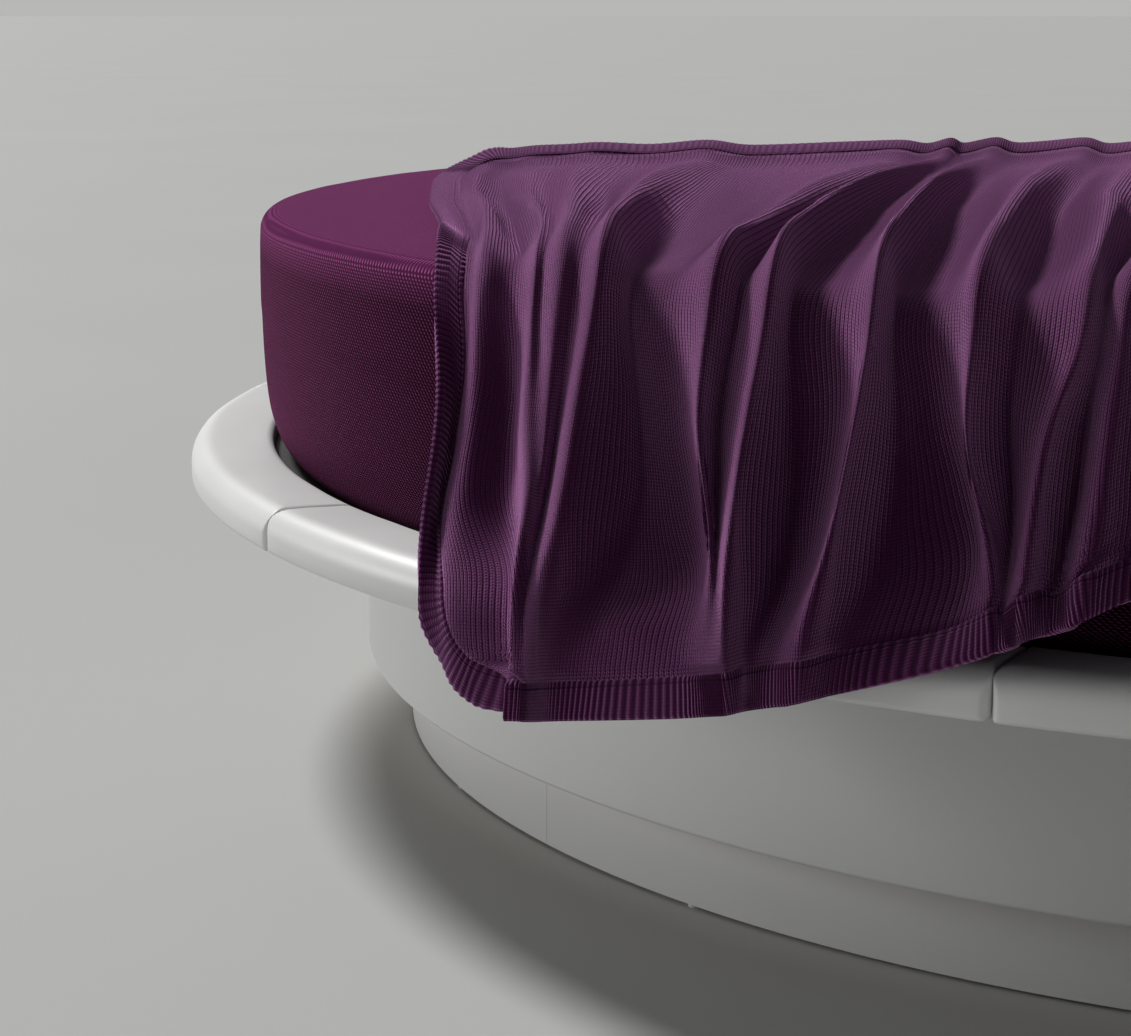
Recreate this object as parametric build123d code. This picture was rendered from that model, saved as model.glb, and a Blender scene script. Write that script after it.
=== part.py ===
from build123d import *
import math
import os

os.makedirs("parts", exist_ok=True)

# Round platform bed: a white drum on a set-back plinth, a padded ledge around a round
# mattress, and a knitted throw. Millimetres, +Z up, origin on the floor under the middle,
# front towards -Y.

# Heights, from the floor up
glide_height = 3.0
plinth_height = 81.0
drum_height = 195.0
board_thickness = 18.0
pad_height = 19.0
pad_wrap = 2.0
mattress_height = 248.0
mattress_crown = 6.0

# Across: the mattress, and how far each ring stands out or back from the one before
mattress_radius = 1200.0
ledge_width = 75.0
ledge_tuck = 10.0
drum_setback = 181.0
plinth_setback = 46.0

# Boards and panels
plinth_panel_thickness = 18.0
drum_panel_thickness = 18.0
drum_edge_round = 4.0
base_ring_width = 116.0
top_ring_width = 86.0
deck_bearing = 26.0
panel_count = 4
rim_board_count = 5
pad_count = 10

# Seam directions, degrees from +X
pad_seam_angle = -108.0
plinth_seam_angle = -103.0
drum_seam_angle = 45.0
ring_seam_angle = 0.0
rim_board_seam_angle = -90.0
deck_seam_angle = 22.5

# Clearances
panel_gap = 0.5
pad_gap = 0.8
fit_gap = 0.3
deck_gap = 2.0
deck_edge_gap = 1.0
hole_gap = 0.1
overrun = 10.0

# Padded rim cover
pad_edge_thickness = 13.0
pad_top_round = 23.0
pad_low_round = 5.0
pad_inner_round = 8.0
pad_end_round = 6.0
pad_wrap_width = 38.0
pad_crown = 2.0

# Radial ribs and hub
rib_count = 8
rib_thickness = 24.0
rib_slot_length = 200.0
rib_slot_height = 70.0
rib_slot_shares = (0.228, 0.508, 0.788)
hub_apothem = 110.0
hub_plate_border = 130.0
hub_foot_border = 30.0
hub_glide_radius = 60.0

# Small metal parts
glide_radius = 8.0
glide_count = 16
bracket_leg = 50.0
bracket_width = 40.0
bracket_thickness = 2.5
bracket_hub_space = 80.0
bracket_edge_space = 56.0
bracket_screw_spacing = 20.0
wood_screw_radius = 2.0
wood_screw_head_radius = 4.0
wood_screw_head_height = 2.0
wood_screw_length = 14.0
rim_bolt_radius = 4.0
rim_bolt_head_radius = 9.0
rim_bolt_head_height = 4.0
rim_bolt_inset = 58.0
rim_bolts_per_board = 4
join_plate_length = 90.0
join_plate_width = 60.0
join_plate_outset = 66.0
join_screw_spacing = 64.0
join_screw_width_spacing = 30.0
deck_screw_radius = 2.5
deck_screw_head_radius = 5.0
deck_screw_head_height = 3.0
deck_screw_length = 45.0
deck_screw_shares = (0.414, 0.808)
deck_vent_radius = 20.0
deck_vent_shares = (0.296, 0.552, 0.808)
deck_vent_step_angle = 22.5

# Mattress
cover_thickness = 5.0
base_cover_thickness = 4.0
fill_gap = 0.5
topper_height = 60.0
mattress_top_round = 19.0
mattress_foot_inset = 37.0
mattress_foot_rise = 27.0
mattress_bulge_inset = 14.0
mattress_knee_inset = 3.0
mattress_knee_height = 76.0
mattress_side_height = 143.0
mattress_side_bulge = 1.2
zip_depth = 3.0

# Throw
throw_thickness = 6.0
throw_lie = 1.0
throw_edge_lift = 4.0
throw_hem_drop = 91.0
throw_hem_rise_share_x = 0.25
throw_hem_rise_share_y = 0.25
throw_far_left_shares = (-0.79, -0.335)
throw_far_right_shares = (0.05, 0.28)
throw_ridge_rim_out = 30.0
throw_valley_rim_out = 9.0
throw_rim_rise = 29.0
throw_side_share = 0.64
throw_level_shares = (0.29, 0.53, 0.75, 0.952)
throw_ridge_side_out = 52.0
throw_valley_side_out = 12.0
throw_ridge_edge_out = 22.0
throw_valley_edge_out = 10.0
throw_ridge_height = 34.0
throw_top_shares = (0.10, 0.32, 0.65, 1.0)
throw_ridge_fade_shares = (1.0, 0.75, 0.5, 0.35)
# Each line runs from the hem to the far end: angle at the mattress edge, angle at the hem,
# and how much of a full ridge it stands up
throw_lines = (
    (-99.5, -93.6, 0.15),
    (-97.6, -92.9, 0.0),
    (-96.3, -92.2, 0.55),
    (-94.2, -90.9, 0.1),
    (-91.6, -89.4, 0.9),
    (-89.4, -87.9, 0.95),
    (-86.4, -84.3, 0.0),
    (-84.2, -81.7, 0.7),
    (-81.4, -79.8, 1.0),
    (-79.5, -78.9, 0.0),
    (-77.6, -78.1, 1.0),
    (-75.7, -75.4, 0.0),
    (-74.2, -72.0, 0.9),
    (-72.4, -71.0, 0.1),
    (-70.9, -69.9, 0.8),
    (-69.4, -69.0, 0.1),
    (-67.9, -67.9, 0.9),
    (-65.9, -65.9, 0.0),
    (-63.8, -63.8, 0.7),
    (-61.7, -61.7, 0.1),
    (-59.9, -59.9, 0.5),
    (-58.4, -58.4, 0.0),
)

# Radii and levels worked out from the sizes above
rim_radius = mattress_radius + ledge_width
rim_inner_radius = mattress_radius - ledge_tuck
drum_radius = rim_radius - drum_setback
drum_inner_radius = drum_radius - drum_panel_thickness
plinth_radius = drum_radius - plinth_setback
base_ring_inner_radius = drum_inner_radius - base_ring_width
top_ring_inner_radius = drum_inner_radius - top_ring_width
rim_board_inner_radius = top_ring_inner_radius + deck_bearing
deck_radius = rim_board_inner_radius - deck_edge_gap
hub_plate_radius = hub_apothem + hub_plate_border
hub_foot_radius = hub_apothem + hub_foot_border
plinth_top = glide_height + plinth_height
drum_top = plinth_top + drum_height
board_top = drum_top + board_thickness
rim_top = board_top + pad_height
ring_under = drum_top - board_thickness
base_ring_top = plinth_top + board_thickness
mattress_floor = board_top + fit_gap
mattress_edge_top = mattress_floor + mattress_height
board_radius = rim_radius - pad_edge_thickness
bracket_places = (hub_apothem + bracket_hub_space, drum_inner_radius - bracket_edge_space)
throw_hem_height = rim_top - throw_hem_drop
throw_drop = mattress_edge_top - throw_hem_height
throw_rim_level = rim_top + throw_rim_rise
throw_side_level = throw_hem_height + throw_side_share * throw_drop
full_turn = 360.0


def point_at(radius, angle, height):
    """A point at a radius and an angle in degrees around the upright axis."""
    turn = math.radians(angle)
    return Vector(radius * math.cos(turn), radius * math.sin(turn), height)


def sector(outer, inner, low, high, start, sweep, gap):
    """A flat or upright curved board: part of a ring, cut back by half a gap at each end."""
    ring = Pos(0, 0, low) * extrude(Circle(outer) - Circle(inner), high - low)
    return ring & wedge(outer, low, high, start, sweep, gap)


def wedge(reach, low, high, start, sweep, gap):
    """The space between two upright planes through the axis, each moved in by half a gap."""
    far = (reach + overrun) / math.cos(math.radians(sweep / 2))
    middle = start + sweep / 2
    back = gap / 2 / math.sin(math.radians(sweep / 2))
    tip = point_at(back, middle, 0)
    left = tip + point_at(far, start, 0)
    right = tip + point_at(far, start + sweep, 0)
    outline = make_face(Polyline(tip, left, right, close=True))
    return Pos(0, 0, low - overrun) * extrude(outline, high - low + 2 * overrun)


def save(shape, node):
    """Write one node."""
    shape.label = node
    export_step(shape, f"parts/{node}.step")


def save_group(shapes, node):
    """Write identical small pieces as one node of separate solids."""
    save(Compound(children=list(shapes)), node)


def screw(radius, length, head_radius, head_height):
    """A countersunk screw pointing down, its flat head at height zero."""
    head = Pos(0, 0, -head_height / 2) * Cone(radius, head_radius, head_height)
    shank = Pos(0, 0, -length / 2) * Cylinder(radius, length)
    return (head + shank).solid()


def screw_hole(radius, depth, head_radius, head_height):
    """The room that a countersunk screw needs, open above."""
    wide = head_radius + hole_gap
    narrow = radius + hole_gap
    sink = Pos(0, 0, -head_height / 2) * Cone(narrow, wide, head_height)
    mouth = Pos(0, 0, overrun / 2) * Cylinder(wide, overrun)
    bore = Pos(0, 0, -depth / 2) * Cylinder(narrow, depth)
    return sink + mouth + bore


# Plinth: four bent panels on glides, and a foot under the hub

def make_plinth():
    step = full_turn / panel_count
    inner = plinth_radius - plinth_panel_thickness
    for number in range(panel_count):
        start = plinth_seam_angle + number * step
        panel = sector(plinth_radius, inner, glide_height, plinth_top, start, step, panel_gap)
        save(panel.solid(), f"plinth_panel_{number + 1}")
    place = plinth_radius - plinth_panel_thickness / 2
    turn = full_turn / glide_count
    glide = Pos(0, 0, glide_height / 2) * Cylinder(glide_radius, glide_height)
    glides = []
    for number in range(glide_count):
        spot = point_at(place, plinth_seam_angle + (number + 0.5) * turn, 0)
        glides.append((Pos(spot) * glide).solid())
    save_group(glides, "plinth_glides")
    foot = Pos(0, 0, glide_height + plinth_height / 2) * Cylinder(hub_foot_radius, plinth_height)
    save(foot.solid(), "hub_foot")
    pad = Pos(0, 0, glide_height / 2) * Cylinder(hub_glide_radius, glide_height)
    save(pad.solid(), "hub_glide")


# Drum: four bent panels, a base ring, a top ring, ribs and the hub

def bracket_spots():
    """Where each bracket stands: on the base ring or the hub plate, at the side of a rib."""
    spots = []
    for number in range(rib_count):
        angle = number * full_turn / rib_count
        for place in bracket_places:
            side = Rot(0, 0, angle) * Pos(place, rib_thickness / 2, base_ring_top)
            spots.append(side)
    return spots


def bracket_screw_spots():
    """Screw places in one bracket, two down and two into the rib."""
    spots = []
    half = bracket_screw_spacing / 2
    middle = (bracket_leg + bracket_thickness) / 2
    for along in (-half, half):
        spots.append(Pos(along, middle, bracket_thickness))
        spots.append(Pos(along, bracket_thickness, middle) * Rot(-90, 0, 0))
    return spots


def small_screw_hole():
    return screw_hole(wood_screw_radius, wood_screw_length + hole_gap,
                      wood_screw_head_radius, wood_screw_head_height)


def bracket_hole_cuts(spot):
    return [spot * place * small_screw_hole() for place in bracket_screw_spots()]


def make_drum():
    step = full_turn / panel_count
    ring_outer = drum_inner_radius - fit_gap
    for number in range(panel_count):
        start = drum_seam_angle + number * step
        panel = sector(drum_radius, drum_inner_radius, plinth_top, drum_top, start, step, panel_gap)
        rims = panel.edges().filter_by(GeomType.CIRCLE).group_by(Axis.Z)[0]
        low = rims.sort_by(lambda edge: edge.radius)[-1]
        save(fillet(low, drum_edge_round).solid(), f"drum_panel_{number + 1}")
    cuts = []
    for spot in bracket_spots():
        cuts.extend(bracket_hole_cuts(spot))
    for number in range(panel_count):
        start = ring_seam_angle + step / 2 / panel_count + number * step
        low_ring = sector(ring_outer, base_ring_inner_radius, plinth_top, base_ring_top,
                          start, step, panel_gap)
        save((low_ring - cuts).solid(), f"base_ring_{number + 1}")
        top_ring = sector(ring_outer, top_ring_inner_radius, ring_under, drum_top,
                          start, step, panel_gap)
        save((top_ring - rim_bolt_room()).solid(), f"top_ring_{number + 1}")
    plate = Pos(0, 0, plinth_top + board_thickness / 2) * Cylinder(hub_plate_radius, board_thickness)
    save((plate - cuts).solid(), "hub_plate")
    post_height = drum_top - base_ring_top
    post = extrude(RegularPolygon(hub_apothem, rib_count, major_radius=False,
                                  rotation=full_turn / rib_count / 2), post_height)
    save((Pos(0, 0, base_ring_top) * post).solid(), "hub_post")


def make_ribs():
    inner = hub_apothem + fit_gap
    outer = drum_inner_radius - 3 * fit_gap
    height = drum_top - base_ring_top
    length = outer - inner
    board = Pos(inner + length / 2, 0, base_ring_top + height / 2)
    blank = board * Box(length, rib_thickness, height)
    notch_length = outer - top_ring_inner_radius + fit_gap
    notch = Pos(outer - notch_length / 2 + overrun / 2, 0, drum_top - board_thickness / 2 + overrun / 2)
    blank -= notch * Box(notch_length + overrun, rib_thickness + overrun, board_thickness + overrun)
    slot = SlotOverall(rib_slot_length, rib_slot_height)
    for share in rib_slot_shares:
        middle = base_ring_top + height / 2
        room = Pos(inner + length * share, rib_thickness, middle) * Rot(90, 0, 0) * extrude(slot, 2 * rib_thickness)
        blank -= room
    for place in bracket_places:
        blank -= bracket_hole_cuts(Pos(place, rib_thickness / 2, base_ring_top))
    for share in deck_screw_shares:
        blank -= Pos(deck_radius * share, 0, board_top) * deck_screw_hole()
    for number in range(rib_count):
        turned = Rot(0, 0, number * full_turn / rib_count) * blank
        save(turned.solid(), f"rib_{number + 1}")


def make_brackets():
    foot_y = bracket_leg / 2
    foot = Pos(0, foot_y, bracket_thickness / 2) * Box(bracket_width, bracket_leg, bracket_thickness)
    back = Pos(0, bracket_thickness / 2, bracket_leg / 2) * Box(bracket_width, bracket_thickness, bracket_leg)
    angle = foot + back
    for place in bracket_screw_spots():
        angle -= place * small_screw_hole()
    spots = bracket_spots()
    save_group([(spot * angle).solid() for spot in spots], "rib_brackets")
    one = screw(wood_screw_radius, wood_screw_length, wood_screw_head_radius, wood_screw_head_height)
    screws = []
    for spot in spots:
        for place in bracket_screw_spots():
            screws.append((spot * place * one).solid())
    save_group(screws, "bracket_screws")


# Ledge boards, their bolts and joining plates, and the deck

def rim_bolt_spots():
    """Bolts that hold the ledge boards down on the top ring, clear of the ribs and seams."""
    count = rim_board_count * rim_bolts_per_board
    step = full_turn / count
    place = top_ring_inner_radius + rim_bolt_inset
    return [point_at(place, rim_board_seam_angle + (number + 0.5) * step, board_top)
            for number in range(count)]


def rim_bolt_length():
    return 2 * board_thickness


def rim_bolt_room():
    one = screw_hole(rim_bolt_radius, rim_bolt_length() + overrun, rim_bolt_head_radius, rim_bolt_head_height)
    return [Pos(spot) * one for spot in rim_bolt_spots()]


def join_spots():
    step = full_turn / rim_board_count
    spots = []
    for number in range(rim_board_count):
        turn = Rot(0, 0, rim_board_seam_angle + number * step)
        spots.append(turn * Pos(drum_radius + join_plate_outset, 0, drum_top - bracket_thickness))
    return spots


def join_screw_spots():
    """Screw places in one joining plate, pointing up."""
    spots = []
    for across in (-join_screw_spacing / 2, join_screw_spacing / 2):
        for along in (-join_screw_width_spacing / 2, join_screw_width_spacing / 2):
            spots.append(Pos(along, across, 0) * Rot(180, 0, 0))
    return spots


def make_rim():
    step = full_turn / rim_board_count
    cuts = rim_bolt_room()
    for spot in join_spots():
        cuts.extend(spot * place * small_screw_hole() for place in join_screw_spots())
    for number in range(rim_board_count):
        start = rim_board_seam_angle + number * step
        board = sector(board_radius, rim_board_inner_radius, drum_top, board_top, start, step, panel_gap)
        save((board - cuts).solid(), f"rim_board_{number + 1}")
    bolt = screw(rim_bolt_radius, rim_bolt_length(), rim_bolt_head_radius, rim_bolt_head_height)
    save_group([(Pos(spot) * bolt).solid() for spot in rim_bolt_spots()], "rim_bolts")
    plate = Pos(0, 0, bracket_thickness / 2) * Box(join_plate_width, join_plate_length, bracket_thickness)
    for place in join_screw_spots():
        plate -= place * small_screw_hole()
    save_group([(spot * plate).solid() for spot in join_spots()], "joining_plates")
    one = screw(wood_screw_radius, wood_screw_length, wood_screw_head_radius, wood_screw_head_height)
    screws = []
    for spot in join_spots():
        for place in join_screw_spots():
            screws.append((spot * place * one).solid())
    save_group(screws, "joining_screws")


def pad_profile():
    """Section of the padded cover: crowned top, rolled outer edge, wrapped under the board."""
    low = drum_top - pad_wrap
    crown_top = rim_top
    inner = rim_inner_radius
    outer = rim_radius
    shoulder = outer - pad_top_round
    half_turn_share = math.sqrt(0.5)
    lip = board_radius - pad_wrap_width
    inner_shoulder_z = crown_top - pad_crown - pad_inner_round
    lines = [
        Line((inner, 0, board_top), (inner, 0, inner_shoulder_z)),
        ThreePointArc(
            (inner, 0, inner_shoulder_z),
            (inner + pad_inner_round * (1 - half_turn_share), 0,
             inner_shoulder_z + pad_inner_round * half_turn_share),
            (inner + pad_inner_round, 0, inner_shoulder_z + pad_inner_round)),
        ThreePointArc(
            (inner + pad_inner_round, 0, crown_top - pad_crown),
            ((inner + pad_inner_round + shoulder) / 2, 0, crown_top - pad_crown / 4),
            (shoulder, 0, crown_top)),
        ThreePointArc(
            (shoulder, 0, crown_top),
            (shoulder + pad_top_round * half_turn_share, 0,
             crown_top - pad_top_round * (1 - half_turn_share)),
            (outer, 0, crown_top - pad_top_round)),
        Line((outer, 0, crown_top - pad_top_round), (outer, 0, low + pad_low_round)),
        ThreePointArc(
            (outer, 0, low + pad_low_round),
            (outer - pad_low_round * (1 - half_turn_share), 0,
             low + pad_low_round * (1 - half_turn_share)),
            (outer - pad_low_round, 0, low)),
        Line((outer - pad_low_round, 0, low), (lip, 0, low)),
        Line((lip, 0, low), (lip, 0, drum_top)),
        Line((lip, 0, drum_top), (board_radius, 0, drum_top)),
        Line((board_radius, 0, drum_top), (board_radius, 0, board_top)),
        Line((board_radius, 0, board_top), (inner, 0, board_top)),
    ]
    return make_face(Wire(lines))


def make_pads():
    step = full_turn / pad_count
    sweep = step - math.degrees(pad_gap / rim_radius)
    blank = revolve(pad_profile(), Axis.Z, sweep)
    rounded = []
    for edge in blank.edges():
        ends = edge.bounding_box()
        middle = edge.position_at(0.5)
        angle = math.degrees(math.atan2(middle.Y, middle.X))
        at_end = min(abs(angle), abs(angle - sweep)) < sweep / 1000
        reach = math.hypot(middle.X, middle.Y)
        outside = reach > board_radius + fit_gap or middle.Z > board_top + fit_gap
        under = middle.Z < drum_top
        if at_end and outside and not (under and reach < board_radius):
            rounded.append(edge)
    pad = fillet(rounded, pad_end_round)
    for number in range(pad_count):
        start = pad_seam_angle + number * step + (step - sweep) / 2
        save((Rot(0, 0, start) * pad).solid(), f"rim_pad_{number + 1:02d}")


def deck_screw_hole():
    return screw_hole(deck_screw_radius, deck_screw_length + hole_gap,
                      deck_screw_head_radius, deck_screw_head_height)


def deck_screw_spots():
    spots = []
    for number in range(rib_count):
        for share in deck_screw_shares:
            spots.append(point_at(deck_radius * share, number * full_turn / rib_count, board_top))
    return spots


def make_deck():
    step = full_turn / panel_count
    cuts = [Pos(spot) * deck_screw_hole() for spot in deck_screw_spots()]
    tall = board_thickness + 2 * overrun
    for row, share in enumerate(deck_vent_shares):
        for number in range(int(full_turn / deck_vent_step_angle)):
            angle = (number + 0.5) * deck_vent_step_angle
            if row == 0 and number % 2:
                continue
            cuts.append(Pos(point_at(deck_radius * share, angle, board_top - board_thickness / 2))
                        * Cylinder(deck_vent_radius, tall))
    disc = Pos(0, 0, drum_top) * extrude(Circle(deck_radius), board_thickness) - cuts
    for number in range(panel_count):
        start = deck_seam_angle + number * step
        panel = disc & wedge(deck_radius, drum_top, board_top, start, step, deck_gap)
        save(panel.solid(), f"deck_panel_{number + 1}")
    one = screw(deck_screw_radius, deck_screw_length, deck_screw_head_radius, deck_screw_head_height)
    save_group([(Pos(spot) * one).solid() for spot in deck_screw_spots()], "deck_screws")


# Mattress: base cloth, foam core, topper, fitted cover and its zip

def crown_level(reach, edge_reach, edge_level):
    """Height of the crowned top, a shallow ball cap that meets its edge at a reach."""
    ball = (edge_reach ** 2 + mattress_crown ** 2) / (2 * mattress_crown)
    return edge_level + mattress_crown - ball + math.sqrt(ball ** 2 - reach ** 2)


def mattress_profile(inset, low):
    """Half section of the mattress, moved in by an inset, standing on a low level."""
    top_round = mattress_top_round - inset
    radius = mattress_radius - inset
    edge_top = mattress_edge_top - inset
    knee = mattress_floor + mattress_knee_height
    straight = mattress_floor + mattress_side_height
    half_turn_share = math.sqrt(0.5)
    shoulder = radius - top_round
    foot = radius - mattress_foot_inset
    bulge = radius - mattress_bulge_inset
    knee_out = radius - mattress_knee_inset
    return make_face(Wire([
        Line((0, 0, low), (foot, 0, low)),
        Line((foot, 0, low), (foot, 0, mattress_floor)),
        ThreePointArc((foot, 0, mattress_floor),
                      (bulge, 0, mattress_floor + mattress_foot_rise),
                      (knee_out, 0, knee)),
        Line((knee_out, 0, knee), (radius, 0, straight)),
        ThreePointArc((radius, 0, straight),
                      (radius + mattress_side_bulge, 0, (straight + edge_top - top_round) / 2),
                      (radius, 0, edge_top - top_round)),
        ThreePointArc((radius, 0, edge_top - top_round),
                      (shoulder + top_round * half_turn_share, 0,
                       edge_top - top_round * (1 - half_turn_share)),
                      (shoulder, 0, edge_top)),
        ThreePointArc((shoulder, 0, edge_top),
                      (shoulder / 2, 0, crown_level(shoulder / 2, shoulder, edge_top)),
                      (0, 0, edge_top + mattress_crown)),
        Line((0, 0, edge_top + mattress_crown), (0, 0, low)),
    ]))


def make_mattress():
    base_top = mattress_floor + base_cover_thickness
    low = mattress_floor - overrun
    outer = revolve(mattress_profile(0, low), Axis.Z)
    hollow = revolve(mattress_profile(cover_thickness, low), Axis.Z)
    above_zip = Pos(0, 0, base_top) * extrude(Circle(mattress_radius + overrun), 2 * mattress_height)
    cover = (outer - hollow) & above_zip
    save(cover.solid(), "mattress_cover")
    base_radius = mattress_radius - mattress_foot_inset - cover_thickness - fill_gap
    base = Pos(0, 0, mattress_floor + base_cover_thickness / 2) * Cylinder(base_radius, base_cover_thickness)
    save(base.solid(), "mattress_base_cloth")
    fill = revolve(mattress_profile(cover_thickness + fill_gap, low), Axis.Z)
    core_top = mattress_edge_top - topper_height
    slab = Pos(0, 0, (base_top + core_top) / 2) * Cylinder(mattress_radius, core_top - base_top)
    rest = Pos(0, 0, core_top) * extrude(Circle(mattress_radius + overrun), 2 * topper_height)
    save((fill & slab).solid(), "mattress_core")
    save((fill & rest).solid(), "mattress_topper")
    zip_height = base_cover_thickness - fit_gap
    tape = extrude(Circle(base_radius + fill_gap + zip_depth) - Circle(base_radius + fill_gap), zip_height)
    save((Pos(0, 0, mattress_floor) * tape).solid(), "mattress_zip")


# Throw: a knitted sheet over the front of the mattress, its folds running to the far edge

def mattress_top_at(x, y):
    shoulder = mattress_radius - mattress_top_round
    return crown_level(min(shoulder, math.hypot(x, y)), shoulder, mattress_edge_top)


def between(low, high, share):
    return low + (high - low) * share


def hem_level(angle):
    """Height of the hem on its sloping plane."""
    spot = point_at(rim_radius, angle, 0)
    return (throw_hem_height + throw_hem_rise_share_x * spot.X
            + throw_hem_rise_share_y * (spot.Y + rim_radius))


def hang_radius(level, stand):
    """How far out the throw hangs at a level, for a valley (0) up to a full ridge (1)."""
    rim_out = rim_radius + between(throw_valley_rim_out, throw_ridge_rim_out, stand)
    side_out = mattress_radius + between(throw_valley_side_out, throw_ridge_side_out, stand)
    edge_out = mattress_radius + between(throw_valley_edge_out, throw_ridge_edge_out, stand)
    if level <= throw_rim_level:
        return rim_out
    if level <= throw_side_level:
        share = (level - throw_rim_level) / (throw_side_level - throw_rim_level)
        return between(rim_out, side_out, share)
    share = min(1.0, (level - throw_side_level) / (mattress_edge_top - throw_side_level))
    return between(side_out, edge_out, share)


def throw_line(line, depth, far_share):
    """Points of one line from the hem to the far end, a depth below the upper face."""
    edge_angle, hem_angle, stand = line
    hem_z = hem_level(hem_angle)
    hang_share = (mattress_edge_top - hem_z) / throw_drop
    points = []
    radius = hang_radius(hem_z, stand) + throw_thickness - depth
    spot = point_at(radius, hem_angle, 0)
    level = (throw_hem_height + throw_hem_rise_share_x * spot.X
             + throw_hem_rise_share_y * (spot.Y + rim_radius))
    points.append(Vector(spot.X, spot.Y, level))
    for share in throw_level_shares:
        level = mattress_edge_top - throw_drop * (1 - share) * hang_share
        climb = (level - hem_z) / (mattress_edge_top - hem_z)
        angle = between(hem_angle, edge_angle, climb)
        points.append(point_at(hang_radius(level, stand) + throw_thickness - depth, angle, level))
    lie = throw_lie + throw_thickness - depth
    edge = point_at(mattress_radius - mattress_top_round / 2, edge_angle, 0)
    top = mattress_edge_top + throw_edge_lift + lie + throw_ridge_height * stand / 2
    points.append(Vector(edge.X, edge.Y, top))
    far_x = mattress_radius * between(throw_far_left_shares[0], throw_far_right_shares[0], far_share)
    far_y = mattress_radius * between(throw_far_left_shares[1], throw_far_right_shares[1], far_share)
    for share, fade in zip(throw_top_shares, throw_ridge_fade_shares):
        x = between(edge.X, far_x, share)
        y = between(edge.Y, far_y, share)
        level = mattress_top_at(x, y) + lie + throw_ridge_height * stand * fade
        points.append(Vector(x, y, level))
    return points


def wave(points):
    """One face's edge across the folds: an arc over each line, joined halfway between lines."""
    edges = []
    joints = [(a + b) / 2 for a, b in zip(points, points[1:])]
    edges.append(Line(points[0], joints[0]))
    for before, crest, after in zip(joints, points[1:-1], joints[1:]):
        edges.append(ThreePointArc(before, crest, after))
    edges.append(Line(joints[-1], points[-1]))
    return edges


def make_throw():
    first = throw_lines[0][0]
    last = throw_lines[-1][0]
    upper = []
    under = []
    for line in throw_lines:
        share = (line[0] - first) / (last - first)
        upper.append(throw_line(line, 0, share))
        under.append(throw_line(line, throw_thickness, share))
    sections = []
    for station in range(len(upper[0])):
        top_points = [points[station] for points in upper]
        low_points = [points[station] for points in under]
        edges = wave(top_points)
        edges.append(Line(top_points[-1], low_points[-1]))
        edges.extend(wave(low_points[::-1]))
        edges.append(Line(low_points[0], top_points[0]))
        sections.append(Wire(edges))
    save(Solid.make_loft(sections[::-1], ruled=True), "throw")


make_plinth()
make_drum()
make_ribs()
make_brackets()
make_rim()
make_pads()
make_deck()
make_mattress()
make_throw()
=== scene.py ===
import math

import bmesh
import bpy
import numpy as np
from mathutils import Euler, Matrix, Vector, noise


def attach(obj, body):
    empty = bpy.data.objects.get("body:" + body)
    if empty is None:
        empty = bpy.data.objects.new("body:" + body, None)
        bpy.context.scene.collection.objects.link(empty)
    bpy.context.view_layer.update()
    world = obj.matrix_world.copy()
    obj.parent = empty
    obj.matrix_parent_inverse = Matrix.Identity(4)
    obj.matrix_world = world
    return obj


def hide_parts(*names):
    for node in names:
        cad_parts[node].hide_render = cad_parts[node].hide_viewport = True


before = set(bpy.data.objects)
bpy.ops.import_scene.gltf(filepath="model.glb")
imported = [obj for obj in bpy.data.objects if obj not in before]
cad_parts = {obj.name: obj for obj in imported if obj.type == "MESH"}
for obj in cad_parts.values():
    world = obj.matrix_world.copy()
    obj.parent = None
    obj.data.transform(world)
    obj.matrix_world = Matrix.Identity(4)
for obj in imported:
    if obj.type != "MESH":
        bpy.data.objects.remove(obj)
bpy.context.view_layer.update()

# Round platform bed: white lacquered drum and plinth, a leather covered ledge in ten pads,
# a cloth covered round mattress and a knitted throw. The frame is in metres; the sizes
# below are in millimetres, as on a drawing.

MM = 0.001

# Ledge
LEDGE_RADIUS = 1275.0
LEDGE_INNER_RADIUS = 1190.0
LEDGE_TOP = 316.0
LEDGE_BOARD_TOP = 297.0
LEDGE_BOARD_RADIUS = 1262.0
LEDGE_BOARD_UNDER = 279.0
LEDGE_LOW = 277.0
LEDGE_LIP_RADIUS = 1224.0
LEDGE_TOP_ROUND = 23.0
LEDGE_LOW_ROUND = 5.0
LEDGE_INNER_ROUND = 8.0
LEDGE_CROWN = 2.0
ROLL_RADIUS = LEDGE_RADIUS - LEDGE_TOP_ROUND
ROLL_LOW = LEDGE_TOP - LEDGE_TOP_ROUND
PAD_COUNT = 10
PAD_SEAM = -108.0
PAD_GAP = 0.8
PAD_END_ROUND = 8.0
PAD_END_TURNS = (0, 18, 36, 54, 72, 90)
PAD_STEPS = 26
PAD_SHIFT = 3.7

# Mattress
MATTRESS_RADIUS = 1200.0
MATTRESS_FLOOR = 297.3
MATTRESS_EDGE_TOP = 545.3
MATTRESS_CROWN = 6.0
MATTRESS_ROUND = 19.0
SHOULDER = MATTRESS_RADIUS - MATTRESS_ROUND
EDGE_LOW = MATTRESS_EDGE_TOP - MATTRESS_ROUND
MATTRESS_STEPS = 288
FILLING_STEPS = 128
CLOTH_SEAM = -115.0
COVER = 5.0
FILL_GAP = 0.5
TOPPER_FLOOR = 485.3
TOPPER_RADIUS = 1194.4
BASE_CLOTH = 4.0
BASE_CLOTH_RADIUS = 1157.5
BASE_GAP = 0.2
# Side of the cover from its rounded edge down to its foot: (reach, height)
COVER_SIDE = ((1200.8, 510), (1201.2, 480), (1201, 455), (1200, 440.3), (1199, 410), (1197.6, 385),
              (1196, 365), (1193.4, 347), (1189.5, 332), (1184, 319), (1177, 308.5), (1170, 301.5),
              (1165, 298.2), (1161, 297.5))
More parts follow.
